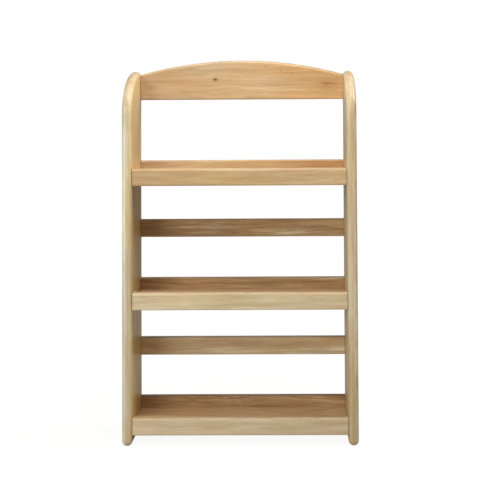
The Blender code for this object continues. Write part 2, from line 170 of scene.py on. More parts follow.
def wood(name, along, base, seed, figure=0.06, streak=0.10, line=0.06, fibre=0.05, dashes=0.14, pores=0.5, hue=0.10,
         pith=(60.0, 40.0), lean=(0.02, 0.012), bow=0.0, flames=(), knot=None, specks=(), front=None,
         outer=None, crown=None, painted_light_ramps=(), painted_shade_in_y=None, ends=None, sheen=0.43):
    """Lacquered pale hardwood. along is 'X' or 'Z', the way the grain runs; lengths are in millimetres.

    base is the average colour, as stops along the board, front the colour of a panel's front band, the board's
    own colour with painted sheen and light where it faces forward, and outer = (which side, stops) that of its outer
    face.
    figure, streak, line and fibre are the strengths of ever finer grain, dashes of short brown flecks, hue of
    the drift between pinker and yellower wood. pith, lean and bow place the growth rings' axis; flames are
    darker patches (u, w, length, height, strength). crown tints faces that look up, painted light and shade on
    the tops, and may be stops; inward = (from, to, strength) paints shade, darker towards one side in Y. Each
    ramp (from, to, sign, stops) paints light or shade on a panel's band: towards one side in X it gets lighter
    or darker by the stops' share of each channel.
    """
    g = Graph(name)
    mean = base[len(base) // 2][1]
    pick = random.Random(seed)
    shift = [pick.uniform(-300, 300) for _ in range(3)]

    where = g.node("ShaderNodeTexCoord").outputs["Object"]
    x, y, z = (g.mul(s, 1000.0) for s in g.split(where))
    normal = g.node("ShaderNodeNewGeometry").outputs["Normal"]
    nx, ny, nz = g.split(normal)
    if along == "X":
        u0, v0, w0, n_along, n_a, n_b = x, y, z, nx, ny, nz
    else:
        u0, v0, w0, n_along, n_a, n_b = z, x, y, nz, nx, ny

    u = g.add(u0, shift[0])
    v = g.add(v0, shift[1])
    w = g.add(w0, shift[2])

    if knot is not None:
        # the fibres part round a pin knot
        du, dw = g.sub(u0, knot[0]), g.sub(w0, knot[1])
        reach = g.add(g.mul(g.mul(du, du), 0.012), g.mul(g.mul(dw, dw), 0.045))
        pull = g.math("EXPONENT", g.mul(reach, -1.0))
        w = g.add(w, g.mul(g.mul(pull, g.spread(dw, -2.6, 2.6, -1.0, 1.0)), -1.9))
        close = g.math("SQRT", g.add(g.mul(g.mul(du, du), 0.50), g.mul(dw, dw)))

    # slow wander of the fibres along the board
    drift = g.noise(g.join(g.mul(u, 0.0075), g.mul(v, 0.012), g.mul(w, 0.016)), 1.0, 1.0, 0.5)
    ripple = g.noise(g.join(g.mul(u, 0.024), g.mul(v, 0.03), g.add(g.mul(w, 0.035), 31.7)), 1.0, 1.0, 0.5)
    wave = g.add(g.mul(g.sub(drift, 0.5), 17.0), g.mul(g.sub(ripple, 0.5), 3.4))
    w1 = g.add(w, wave)
    v1 = g.add(v, g.mul(wave, 0.6))

    # growth rings round a leaning, slightly bowed pith
    u_bow = g.mul(g.mul(u0, u0), bow)
    pv = g.sub(g.sub(v1, shift[1] + pith[0]), g.mul(u0, lean[0]))
    pw = g.sub(g.sub(g.sub(w1, shift[2] + pith[1]), g.mul(u0, lean[1])), u_bow)
    radius = g.math("SQRT", g.add(g.mul(pv, pv), g.mul(pw, pw)))
    uneven = g.noise(g.join(g.mul(radius, 0.11), g.mul(u, 0.004), 4.2 + seed), 1.0, 2.0, 0.6)
    phase = g.add(g.mul(radius, 0.92), g.mul(uneven, 15.0))
    ring = g.math("SINE", phase)
    late = g.math("POWER", g.add(g.mul(ring, 0.5), 0.5), 3.0)  # narrow darker late wood

    broad = g.noise(g.join(g.mul(u, 0.0100), g.mul(v1, 0.085), g.mul(w1, 0.085)), 1.0, 2.0, 0.5)
    streaks = g.noise(g.join(g.mul(u, 0.0150), g.mul(v1, 0.27), g.mul(w1, 0.27)), 1.0, 3.0, 0.62)
    lines = g.noise(g.join(g.mul(u, 0.0340), g.mul(v1, 0.85), g.mul(w1, 0.85)), 1.0, 3.0, 0.62)
    fibres = g.noise(g.join(g.mul(u, 0.11), g.mul(v1, 4.2), g.mul(w1, 4.2)), 1.0, 3.0, 0.65)
    comes_and_goes = g.spread(
        g.noise(g.join(g.mul(u, 0.013), g.mul(v1, 0.06), g.add(g.mul(w1, 0.06), 9.1)), 1.0, 2.0, 0.5), 0.40, 0.62
    )

    tone = g.mul(g.mul(g.sub(0.31, late), comes_and_goes), figure)
    tone = g.add(tone, g.mul(g.sub(broad, 0.5), streak * 3.2))
    tone = g.add(tone, g.mul(g.sub(streaks, 0.5), streak * 6.5))
    tone = g.add(tone, g.mul(g.sub(lines, 0.5), line * 7.5))
    tone = g.add(tone, g.mul(g.sub(fibres, 0.5), fibre * 5.0))
    # brown flecks a centimetre or two long, in loose swarms
    fleck = g.node("ShaderNodeTexVoronoi", voronoi_dimensions="3D", feature="F1")
    g.feed(fleck.inputs["Vector"], g.join(g.mul(u, 0.060), g.mul(v1, 0.62), g.add(g.mul(w1, 0.62), 3.3)))
    fleck.inputs["Scale"].default_value = 1.0
    fleck.inputs["Randomness"].default_value = 1.0
    swarm = g.spread(g.noise(g.join(g.mul(u, 0.011), g.mul(v1, 0.10), g.add(g.mul(w1, 0.10), 5.7)), 1.0, 2.0, 0.5), 0.46, 0.66)
    flecks = g.mul(g.spread(fleck.outputs["Distance"], 0.10, 0.42, 1.0, 0.0), swarm)
    tone = g.sub(tone, g.mul(flecks, dashes))
    if front is not None:
        # the band is the long-grain edge: everything that faces forward or, on the shoulder, upward. Its colour is the
        # board's own with painted sheen and light on those faces
        ahead = g.math("MAXIMUM", g.mul(ny, -1.0), 0.0)
        above = g.math("MAXIMUM", nz, 0.0)
        facing = g.math("SQRT", g.add(g.mul(ahead, ahead), g.mul(above, above)))
        band = g.spread(facing, 0.25, 0.85)
    # painted shade: the wood darkens towards one side in Y
    if painted_shade_in_y is not None:
        tone = g.sub(tone, g.mul(g.spread(y, painted_shade_in_y[0], painted_shade_in_y[1]), painted_shade_in_y[2]))
    # painted light and shade on a panel's band: lighter or darker towards one side in X, by the stops' share of each
    # channel
    painted_light_veils = []
    for from_x, to_x, sign, stops in painted_light_ramps:
        share = g.mul(g.mul(g.spread(x, from_x, to_x), g.spread(facing, 0.0, 0.15)), sign)
        painted_light_veils.append([g.mul(part, share) for part in g.split(along_board(g, u0, stops))])
    ragged = g.spread(streaks, 0.38, 0.60, 0.15, 1.0)
    for place, level, length, height, strength in flames:
        fu = g.math("DIVIDE", g.sub(u0, place), length)
        fw = g.math("DIVIDE", g.sub(g.add(w0, g.mul(wave, 0.35)), level), height)
        patch = g.math("EXPONENT", g.mul(g.add(g.mul(fu, fu), g.mul(fw, fw)), -1.0))
        tone = g.sub(tone, g.mul(g.mul(patch, ragged), strength))

    # a joiner's dark line: finish gathers in the last half millimetre before a joint
    if ends is not None:
        edge = g.spread(g.math("ABSOLUTE", u0), ends - 0.9, ends, 0.0, 1.0)
        tone = g.sub(tone, g.mul(edge, 0.28))

    # open pores: short dark dashes along the fibres
    dash = g.node("ShaderNodeTexVoronoi", voronoi_dimensions="3D", feature="F1")
    g.feed(dash.inputs["Vector"], g.join(g.mul(u, 0.16), g.mul(v1, 1.5), g.mul(w1, 1.5)))
    dash.inputs["Scale"].default_value = 1.0
    dash.inputs["Randomness"].default_value = 1.0
    crowd = g.noise(g.join(g.mul(u, 0.015), g.mul(v1, 0.22), g.mul(w1, 0.22)), 1.0, 2.0, 0.5)
    pore = g.mul(g.spread(dash.outputs["Distance"], 0.08, 0.24, 1.0, 0.0), g.spread(crowd, 0.36, 0.62, 0.15, 1.0))

    ground = along_board(g, u0, base)
    if front is not None:
        ground = g.mix(band, ground, along_board(g, u0, front))
    if outer is not None:
        ground = g.mix(g.spread(g.mul(nx, outer[0]), 0.80, 0.98), ground, along_board(g, u0, outer[1]))
    warm = g.noise(g.join(g.mul(u, 0.014), g.mul(v1, 0.055), g.add(g.mul(w1, 0.055), 17.3)), 1.0, 2.0, 0.55)
    warm = g.mul(g.sub(warm, 0.5), hue)
    channels = []
    for k, (share, pink) in enumerate(zip(REDDEN, (0.5, -0.4, -1.9))):
        power = g.add(g.mul(tone, share), g.mul(warm, pink * 2.0))
        for painted_light_veil in painted_light_veils:
            power = g.add(power, painted_light_veil[k])
        channels.append(g.math("EXPONENT", power))
    gain = g.join(*channels)
    product = g.node("ShaderNodeVectorMath", operation="MULTIPLY")
    if isinstance(ground, bpy.types.NodeSocket):
        g.feed(product.inputs[0], ground)
    else:
        product.inputs[0].default_value = ground[:3]
    g.feed(product.inputs[1], gain)
    colour = product.outputs[0]
    # painted light and shade on the faces that look up: crown scales their colour, mostly darker, for the shade under
    # the shelf above and a dimmer highlight on the lit tops
    if crown is not None:
        painted_top_shade = g.node("ShaderNodeVectorMath", operation="MULTIPLY")
        g.feed(painted_top_shade.inputs[0], colour)
        if isinstance(crown[0], tuple):
            g.feed(painted_top_shade.inputs[1], along_board(g, u0, crown))
        else:
            painted_top_shade.inputs[1].default_value = crown
        colour = g.mix(g.spread(nz, 0.15, 0.80), colour, painted_top_shade.outputs[0])

    deep = tuple(m * f for m, f in zip(mean, (0.42, 0.32, 0.24)))
    colour = g.mix(g.mul(pore, pores), colour, deep)

    # end grain drinks the finish and goes darker
    end = g.math("POWER", g.math("ABSOLUTE", n_along), 5.0)
    speckle = g.noise(g.join(g.mul(u, 0.4), g.mul(v, 2.6), g.mul(w, 2.6)), 1.0, 3.0, 0.7)
    tint = g.add(0.55, g.mul(g.sub(speckle, 0.2), 0.35))
    darker = g.node("ShaderNodeVectorMath", operation="SCALE")
    g.feed(darker.inputs[0], colour)
    g.feed(darker.inputs["Scale"], tint)
    colour = g.mix(g.mul(end, 0.8), colour, darker.outputs[0])

    # sanded arrises: thinner finish, paler wood
    if along == "Z":
        arris = g.mul(g.mul(g.mul(nx, nx), g.add(g.mul(ny, ny), g.mul(nz, nz))), 4.0)
    else:
        arris = g.mul(g.mul(g.mul(n_a, n_a), g.mul(n_b, n_b)), 4.0)
    rub = g.noise(g.join(g.mul(u, 0.05), g.mul(v, 0.4), g.mul(w, 0.4)), 1.0, 3.0, 0.6)
    worn = g.mul(arris, g.spread(rub, 0.36, 0.68))
    paler = tuple(min(1.0, m * f) for m, f in zip(mean, (1.16, 1.24, 1.34)))
    colour = g.mix(g.mul(worn, 0.32), colour, paler)

    height = g.add(g.mul(fibres, 0.50), g.mul(lines, 0.35))
    height = g.sub(height, g.mul(late, 0.12))
    height = g.sub(height, g.mul(pore, 0.9))
    if knot is not None:
        core = g.spread(close, 0.7, 2.0, 1.0, 0.0)
        halo = g.spread(close, 1.4, 4.6, 1.0, 0.0)
        tail = g.mul(g.spread(du, -5.0, -1.0), g.spread(du, -0.5, 0.5, 1.0, 0.0))
        tail = g.mul(tail, g.spread(g.math("ABSOLUTE", dw), 0.3, 1.3, 1.0, 0.0))
        rust = (0.30, 0.135, 0.030)
        colour = g.mix(g.mul(halo, 0.22), colour, rust)
        colour = g.mix(g.mul(tail, 0.50), colour, rust)
        colour = g.mix(g.mul(core, 0.95), colour, (0.150, 0.070, 0.012))
        height = g.sub(height, g.mul(core, 1.2))
    for place, level, size, strength in specks:
        su = g.mul(g.sub(u0, place), 0.7)
        sw = g.sub(w0, level)
        spot = g.math("SQRT", g.add(g.mul(su, su), g.mul(sw, sw)))
        colour = g.mix(g.mul(g.spread(spot, size * 0.4, size, 1.0, 0.0), strength), colour, (0.33, 0.105, 0.014))

    g.feed(g.shader.inputs["Base Color"], colour)
    rough = g.add(sheen, g.mul(g.sub(broad, 0.5), 0.10))
    rough = g.add(rough, g.mul(g.sub(lines, 0.5), 0.14))
    rough = g.add(rough, g.mul(pore, 0.20))
    rough = g.add(rough, g.mul(worn, 0.10))
    rough = g.add(rough, g.mul(end, 0.15))
    g.feed(g.shader.inputs["Roughness"], rough)
    g.shader.inputs["IOR"].default_value = 1.46
    g.shader.inputs["Coat Weight"].default_value = 0.25
    g.shader.inputs["Coat Roughness"].default_value = 0.26
    peel = g.noise(g.join(g.mul(x, 0.32), g.mul(y, 0.32), g.mul(z, 0.32)), 1.0, 2.0, 0.5)
    skin = g.bump(peel, 0.12, 0.16 * MM)
    g.feed(g.shader.inputs["Coat Normal"], skin)
    g.feed(g.shader.inputs["Normal"], g.bump(height, 0.40, 0.10 * MM, skin))
    return g.material


def steel(name, tint, rough, seed, brushed=True):
    """Zinc-plated sheet or screw steel with a rolled direction and blooms in the plating."""
    g = Graph(name)
    where = g.node("ShaderNodeTexCoord").outputs["Object"]
    x, y, z = (g.mul(s, 1000.0) for s in g.split(where))
    lines = g.noise(g.join(g.mul(x, 0.25 if brushed else 1.5), g.mul(y, 6.0), g.add(g.mul(z, 6.0), seed)), 1.0, 3.0, 0.6)
    bloom = g.noise(g.join(g.mul(x, 0.16), g.mul(y, 0.16), g.add(g.mul(z, 0.16), seed)), 1.0, 3.0, 0.55)
    spangle = g.node("ShaderNodeTexVoronoi", voronoi_dimensions="3D", feature="F1")
    g.feed(spangle.inputs["Vector"], g.join(g.mul(x, 0.7), g.mul(y, 0.7), g.mul(z, 0.7)))
    spangle.inputs["Scale"].default_value = 1.0
    dull = tuple(c * 0.72 for c in tint)
    colour = g.mix(g.spread(bloom, 0.35, 0.70), tint, dull)
    colour = g.mix(g.mul(spangle.outputs["Distance"], 0.22), colour, tuple(min(1.0, c * 1.18) for c in tint))
    g.feed(g.shader.inputs["Base Color"], colour)
    g.shader.inputs["Metallic"].default_value = 1.0
    roughness = g.add(rough, g.mul(g.sub(lines, 0.5), 0.22))
    roughness = g.add(roughness, g.mul(g.sub(bloom, 0.5), 0.12))
    g.feed(g.shader.inputs["Roughness"], roughness)
    g.feed(g.shader.inputs["Normal"], g.bump(lines, 0.22, 0.03 * MM))
    return g.material


# --------------------------------------------------------------------------
# mesh helpers
# --------------------------------------------------------------------------
def object_from(name, bm, keep=True):
    bmesh.ops.recalc_face_normals(bm, faces=bm.faces[:])
    mesh = bpy.data.meshes.new(name)
    bm.to_mesh(mesh)
    bm.free()
    made = bpy.data.objects.new(name, mesh)
    scene.collection.objects.link(made)
    if not keep:
        workshop.append(made)
    return made


def pull_face(bm, corners, sweep):
    face = bm.faces.new([bm.verts.new(c) for c in corners])
    pulled = bmesh.ops.extrude_face_region(bm, geom=[face])
    moved = [v for v in pulled["geom"] if isinstance(v, bmesh.types.BMVert)]
    bmesh.ops.translate(bm, verts=moved, vec=sweep)


def circle(radius, sides, turn=0.0):
    return [
        (radius * math.cos(2 * math.pi * (k + turn) / sides), radius * math.sin(2 * math.pi * (k + turn) / sides))
        for k in range(sides)
    ]


def freeze(obj):
    """Applies every modifier on obj."""
    bpy.context.view_layer.update()
    graph = bpy.context.evaluated_depsgraph_get()
    mesh = bpy.data.meshes.new_from_object(obj.evaluated_get(graph))
    obj.modifiers.clear()
    old = obj.data
    obj.data = mesh
    mesh.name = obj.name
    if old.users == 0:
        bpy.data.meshes.remove(old)
    return obj


def heal(obj):
    """Closes the slivers an exact cut may leave."""
    bm = bmesh.new()
    bm.from_mesh(obj.data)
    bmesh.ops.remove_doubles(bm, verts=bm.verts[:], dist=0.002 * MM)
    bmesh.ops.dissolve_degenerate(bm, edges=bm.edges[:], dist=0.002 * MM)
    rim = [e for e in bm.edges if e.is_boundary]
    if rim:
        bmesh.ops.holes_fill(bm, edges=rim, sides=0)
    bmesh.ops.recalc_face_normals(bm, faces=bm.faces[:])
    bm.to_mesh(obj.data)
    bm.free()


def carve(obj, cutter):
    change = obj.modifiers.new("cut", "BOOLEAN")
    change.operation = "DIFFERENCE"
    change.solver = "EXACT"
    change.object = cutter


def weights(bm, rule):
    layer = bm.edges.layers.float.new("bevel_weight_edge")
    for edge in bm.edges:
        edge[layer] = rule(edge.verts[0].co, edge.verts[1].co)


def round_over(obj, width, segments):
    change = obj.modifiers.new("round", "BEVEL")
    change.width = width
    change.segments = segments
    change.limit_method = "WEIGHT"
    change.use_clamp_overlap = False
    change.harden_normals = False
    return change


def finish_shading(obj, angle=32):
    obj.data.shade_smooth()
    obj.data.set_sharp_from_angle(angle=math.radians(angle))
    even = obj.modifiers.new("even normals", "WEIGHTED_NORMAL")
    even.keep_sharp = True
    even.weight = 60


def stand_for(obj, node, material):
    obj.data.materials.clear()
    obj.data.materials.append(material)
    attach(obj, "root")
    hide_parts(node)


def middle(node):
    low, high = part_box(node)
    return (low + high) / 2


# --------------------------------------------------------------------------
# where the dowels are, read from the frame
# --------------------------------------------------------------------------
NODES = sorted(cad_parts)
DOWELS = [n for n in NODES if "_dowel" in n]
ROUND_GAP = 0.30 * MM  # between a dowel and its bore
SEAM = 0.06 * MM  # what the boards' ends keep from the panels


def bores(name, spans):
    """One cutter with a cylinder along X for each (y, z, radius, x_from, x_to)."""
    bm = bmesh.new()
    for y, z, radius, x_from, x_to in spans:
        ring = [(x_from, y + a, z + b) for a, b in circle(radius, 32)]
        pull_face(bm, ring, (x_to - x_from, 0, 0))
    return object_from(name, bm, keep=False)


def dowel_facts(node):
    low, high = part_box(node)
    centre = (low + high) / 2
    radius = (high.z - low.z) / 2 / math.cos(math.pi / 12)
    return centre, radius, low.x, high.x


# --------------------------------------------------------------------------
# side panels
# --------------------------------------------------------------------------
def side_panel(node):
    low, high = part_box(node)
    depth = high.y - low.y
    shoulder = 50.0 * MM
    top = 405.5 * MM
    base_z = top - shoulder
    steps = 64
    corners = [(low.x, low.y, 0), (low.x, high.y, 0), (low.x, high.y, top)]
    for k in range(1, steps + 1):
        angle = math.pi / 2 * (1 + k / steps)
        corners.append((low.x, high.y + depth * math.cos(angle), base_z + shoulder * math.sin(angle)))
    bm = bmesh.new()
    pull_face(bm, corners, (high.x - low.x, 0, 0))

    def rule(a, b):
        across = abs(a.x - b.x) > 1e-6
        at_back = a.y > high.y - 1e-6 and b.y > high.y - 1e-6
        if not across:
            return 0.28 if at_back else 1.0
        if at_back:
            return 0.6 if a.z > base_z else 0.28
        return 1.0 if a.z < 1e-6 else 0.0

    weights(bm, rule)
    panel = object_from(node + "_board", bm)
    round_over(panel, 5.2 * MM, 12)
    inner = high.x if low.x < 0 else low.x
    spans = []
    for d in DOWELS:
        centre, radius, x0, x1 = dowel_facts(d)
        if (centre.x < 0) != (low.x < 0):
            continue
        if low.x < 0:
            spans.append((centre.y, centre.z, radius + ROUND_GAP, x0 - 0.4 * MM, inner + 1 * MM))
        else:
            spans.append((centre.y, centre.z, radius + ROUND_GAP, inner - 1 * MM, x1 + 0.4 * MM))
    carve(panel, bores(node + "_bores", spans))
    freeze(panel)
    finish_shading(panel)
    return panel


# --------------------------------------------------------------------------
# boards between the panels
# --------------------------------------------------------------------------
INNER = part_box("right_side_panel")[0].x


def board_dowels(stem):
    return [d for d in DOWELS if d.startswith(stem)]


def end_bores(obj_name, stem):
    spans = []
    for d in board_dowels(stem):
        centre, radius, x0, x1 = dowel_facts(d)
        if centre.x < 0:
            spans.append((centre.y, centre.z, radius + ROUND_GAP, -INNER - 1 * MM, x1 + 0.4 * MM))
        else:
            spans.append((centre.y, centre.z, radius + ROUND_GAP, x0 - 0.4 * MM, INNER + 1 * MM))
    return bores(obj_name + "_bores", spans)


def straight_board(node, stem, width, top_share=1.0, bottom_share=1.0, segments=8, ease=0.3 * MM):
    """Rounded along its length; the square-cut ends are eased a hair, which draws the seam against the panel."""
    low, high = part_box(node)
    half = INNER - SEAM
    centre = (low + high) / 2
    bm = bmesh.new()
    stations = [-half, -half * 0.5, 0.0, half * 0.5, half]
    rings = []
    for x in stations:
        rings.append(
            [
                bm.verts.new((x, y, z))
                for y, z in ((low.y, low.z), (high.y, low.z), (high.y, high.z), (low.y, high.z))
            ]
        )
    bm.faces.new(rings[0])
    bm.faces.new(rings[-1])
    for a, b in zip(rings, rings[1:]):
        for k in range(4):
            bm.faces.new((a[k], a[(k + 1) % 4], b[(k + 1) % 4], b[k]))

    def rule(a, b):
        if abs(a.x - b.x) < 1e-6:
            return ease / width if abs(abs(a.x) - half) < 1e-6 else 0.0
        return top_share if a.z > centre.z else bottom_share

    weights(bm, rule)
    board = object_from(node + "_board", bm)
    round_over(board, width, segments)
    carve(board, end_bores(node, stem))
    freeze(board)
    finish_shading(board)
    return board


def arched_rail(node):
    low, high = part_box(node)
    half = INNER - SEAM
    radius = 432.0 * MM
    crown = high.z
    steps = 96
    reach = math.asin(half / radius)
    corners = [(-half, low.y, low.z), (half, low.y, low.z)]
    for k in range(steps + 1):
        angle = reach * (1 - 2 * k / steps)
        corners.append((radius * math.sin(angle), low.y, crown - radius + radius * math.cos(angle)))
    bm = bmesh.new()
    pull_face(bm, corners, (0, high.y - low.y, 0))

    def rule(a, b):
        along = abs(a.x - b.x) > 1e-5 and abs(a.y - b.y) < 1e-6
        at_end = abs(abs(a.x) - half) < 1e-6 and abs(abs(b.x) - half) < 1e-6
        if along:
            return 1.0 if a.z > low.z + 1 * MM else 0.5
        return 0.08 if at_end else 0.0

    weights(bm, rule)
    rail = object_from(node + "_board", bm)
    round_over(rail, 3.2 * MM, 10)
    carve(rail, end_bores(node, "top_rail_dowel"))

    # seats for the hanger plates, room for a nail head behind each, and pilot holes
    for word in ("left", "right"):
        p_low, p_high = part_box(word + "_keyhole_hanger")
        centre = (p_low + p_high) / 2
        gap = 0.25 * MM
        bm = bmesh.new()
        outline = [
            (centre.x + a, p_low.y - gap, centre.z + b)
            for a, b in rounded_rectangle(p_high.x - p_low.x + 2 * gap, p_high.z - p_low.z + 2 * gap, 3.0 * MM + gap, 8)
        ]
        pull_face(bm, outline, (0, 4 * MM, 0))
        carve(rail, object_from("seat_" + word, bm, keep=False))
        bm = bmesh.new()
        outline = [
            (centre.x + a, high.y - 5.2 * MM, centre.z + b)
            for a, b in keyhole(5.0 * MM, 4.2 * MM, -3.2 * MM, 3.4 * MM, 36, 18)
        ]
        pull_face(bm, outline, (0, 4.1 * MM, 0))
        carve(rail, object_from("nail_room_" + word, bm, keep=False))
        bm = bmesh.new()
        for place in ("a", "b"):
            s_low, s_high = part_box("%s_hanger_screw_%s" % (word, place))
            at = (s_low + s_high) / 2
            ring = [(at.x + a, s_low.y - 0.4 * MM, at.z + b) for a, b in circle(1.5 * MM, 24)]
            pull_face(bm, ring, (0, s_high.y - s_low.y - 0.8 * MM, 0))
        carve(rail, object_from("pilots_" + word, bm, keep=False))
    freeze(rail)
    finish_shading(rail)
    return rail


# --------------------------------------------------------------------------
# hardware
# --------------------------------------------------------------------------
def rounded_rectangle(width, height, corner, steps):
    out = []
    for cx, cz, start in ((1, 1, 0.0), (-1, 1, 0.5), (-1, -1, 1.0), (1, -1, 1.5)):
        for k in range(steps + 1):
            angle = math.pi * (start + 0.5 * k / steps)
            out.append(
                (
                    cx * (width / 2 - corner) + corner * math.cos(angle),
                    cz * (height / 2 - corner) + corner * math.sin(angle),
                )
            )
    return out


def keyhole(head, neck, drop, rise, head_steps, neck_steps):
    meet = math.asin(neck / head)
    out = []
    for k in range(head_steps + 1):
        angle = math.pi / 2 + meet + (2 * math.pi - 2 * meet) * k / head_steps
        out.append((head * math.cos(angle), drop + head * math.sin(angle)))
    for k in range(neck_steps + 1):
        angle = math.pi * k / neck_steps
        out.append((neck * math.cos(angle), rise + neck * math.sin(angle)))
    return out


def fluted_dowel(node):
    """Pressed beech pin: shallow flutes for the glue and chamfered ends."""
    centre, radius, x0, x1 = dowel_facts(node)
    flutes, per = 12, 4
    sides = flutes * per
    chamfer = 0.45 * MM
    profile = [(x0, radius * 0.80), (x0 + chamfer, radius), (x1 - chamfer, radius), (x1, radius * 0.80)]
    bm = bmesh.new()
    rings = []
    for x, r in profile:
        ring = []
        for k in range(sides):
            angle = 2 * math.pi * k / sides
            dip = 0.5 - 0.5 * math.cos(2 * math.pi * (k % per) / per)
            rr = r - 0.16 * MM * dip
            ring.append(bm.verts.new((x, centre.y + rr * math.cos(angle), centre.z + rr * math.sin(angle))))
        rings.append(ring)
    bm.faces.new(rings[0])
    bm.faces.new(rings[-1])
    for a, b in zip(rings, rings[1:]):
        for k in range(sides):
            bm.faces.new((a[k], a[(k + 1) % sides], b[(k + 1) % sides], b[k]))
    pin = object_from(node + "_pin", bm)
    pin.data.shade_smooth()
    pin.data.set_sharp_from_angle(angle=math.radians(30))
    return pin


def hanger_plate(node):
    low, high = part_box(node)
    centre = (low + high) / 2
    bm = bmesh.new()
    outline = [
        (centre.x + a, low.y, centre.z + b)
        for a, b in rounded_rectangle(high.x - low.x, high.z - low.z, 3.0 * MM, 8)
    ]
    pull_face(bm, outline, (0, high.y - low.y, 0))
    weights(bm, lambda a, b: 1.0 if abs(a.y - b.y) < 1e-7 else 0.0)
    plate = object_from(node + "_plate", bm)
    round_over(plate, 0.16 * MM, 3)
    bm = bmesh.new()
    outline = [
        (centre.x + a, low.y - 1 * MM, centre.z + b)
        for a, b in keyhole(4.2 * MM, 2.1 * MM, -3.2 * MM, 4.6 * MM, 40, 18)
    ]
    pull_face(bm, outline, (0, 4 * MM, 0))
    carve(plate, object_from(node + "_keyhole", bm, keep=False))
    word = node.split("_")[0]
    for place in ("a", "b"):
        s_low, s_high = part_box("%s_hanger_screw_%s" % (word, place))
        at = (s_low + s_high) / 2
        head_r = (s_high.x - s_low.x) / 2
        depth = 1.1 * MM
        slope = (head_r - 1.2 * MM) / depth
        bm = bmesh.new()
        profile = [
            (low.y - 0.5 * MM, 1.5 * MM),
            (high.y - depth, 1.5 * MM),
            (high.y + 0.5 * MM, head_r + 0.25 * MM + slope * 0.5 * MM),
        ]
        lathe_y(bm, profile, at.x, at.z, 40)
        carve(plate, object_from("%s_sink_%s" % (node, place), bm, keep=False))
    freeze(plate)
    heal(plate)
    finish_shading(plate, 25)
    return plate


def lathe_y(bm, profile, cx, cz, sides):
    """Closed turned body about a line along Y."""
    rings = [[bm.verts.new((cx + a, y, cz + b)) for a, b in circle(r, sides)] for y, r in profile]
    bm.faces.new(rings[0])
    bm.faces.new(rings[-1])
    for a, b in zip(rings, rings[1:]):
        for k in range(sides):
            bm.faces.new((a[k], a[(k + 1) % sides], b[(k + 1) % sides], b[k]))


def wood_screw(node):
    """Countersunk head with a cross recess and a threaded shank."""
    low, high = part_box(node)
    at = (low + high) / 2
    head_r = (high.x - low.x) / 2
    core, crest = 0.82 * MM, 1.2 * MM
    profile = [(high.y, head_r * 0.94), (high.y - 0.10 * MM, head_r), (high.y - 1.1 * MM, crest * 0.9)]
    y = high.y - 1.35 * MM
    pitch = 0.62 * MM
    while y - pitch > low.y + 0.9 * MM:
        fade = min(1.0, (y - low.y) / (2.6 * MM))
        profile.append((y, core))
        profile.append((y - pitch * 0.5, core + (crest - core) * fade))
        y -= pitch
    profile.append((y, core))
    profile.append((low.y, 0.16 * MM))
    bm = bmesh.new()
    lathe_y(bm, profile, at.x, at.z, 40)
    screw = object_from(node + "_screw", bm)
    arm, half = head_r * 0.55, 0.28 * MM
    cross = [
        (half, half), (arm, half), (arm, -half), (half, -half), (half, -arm), (-half, -arm),
        (-half, -half), (-arm, -half), (-arm, half), (-half, half), (-half, arm), (half, arm),
    ]
    bm = bmesh.new()
    turn = 0.35 if node.endswith("a") else 1.05
    c, s = math.cos(turn), math.sin(turn)
    pull_face(
        bm,
        [(at.x + a * c - b * s, high.y - 0.7 * MM, at.z + a * s + b * c) for a, b in cross],
        (0, 2 * MM, 0),
    )
    carve(screw, object_from(node + "_recess", bm, keep=False))
    freeze(screw)
    finish_shading(screw, 28)
    return screw


# --------------------------------------------------------------------------
# build and finish every piece
# --------------------------------------------------------------------------
EXTENT = 116.2  # half length of the boards, for the line at the joints
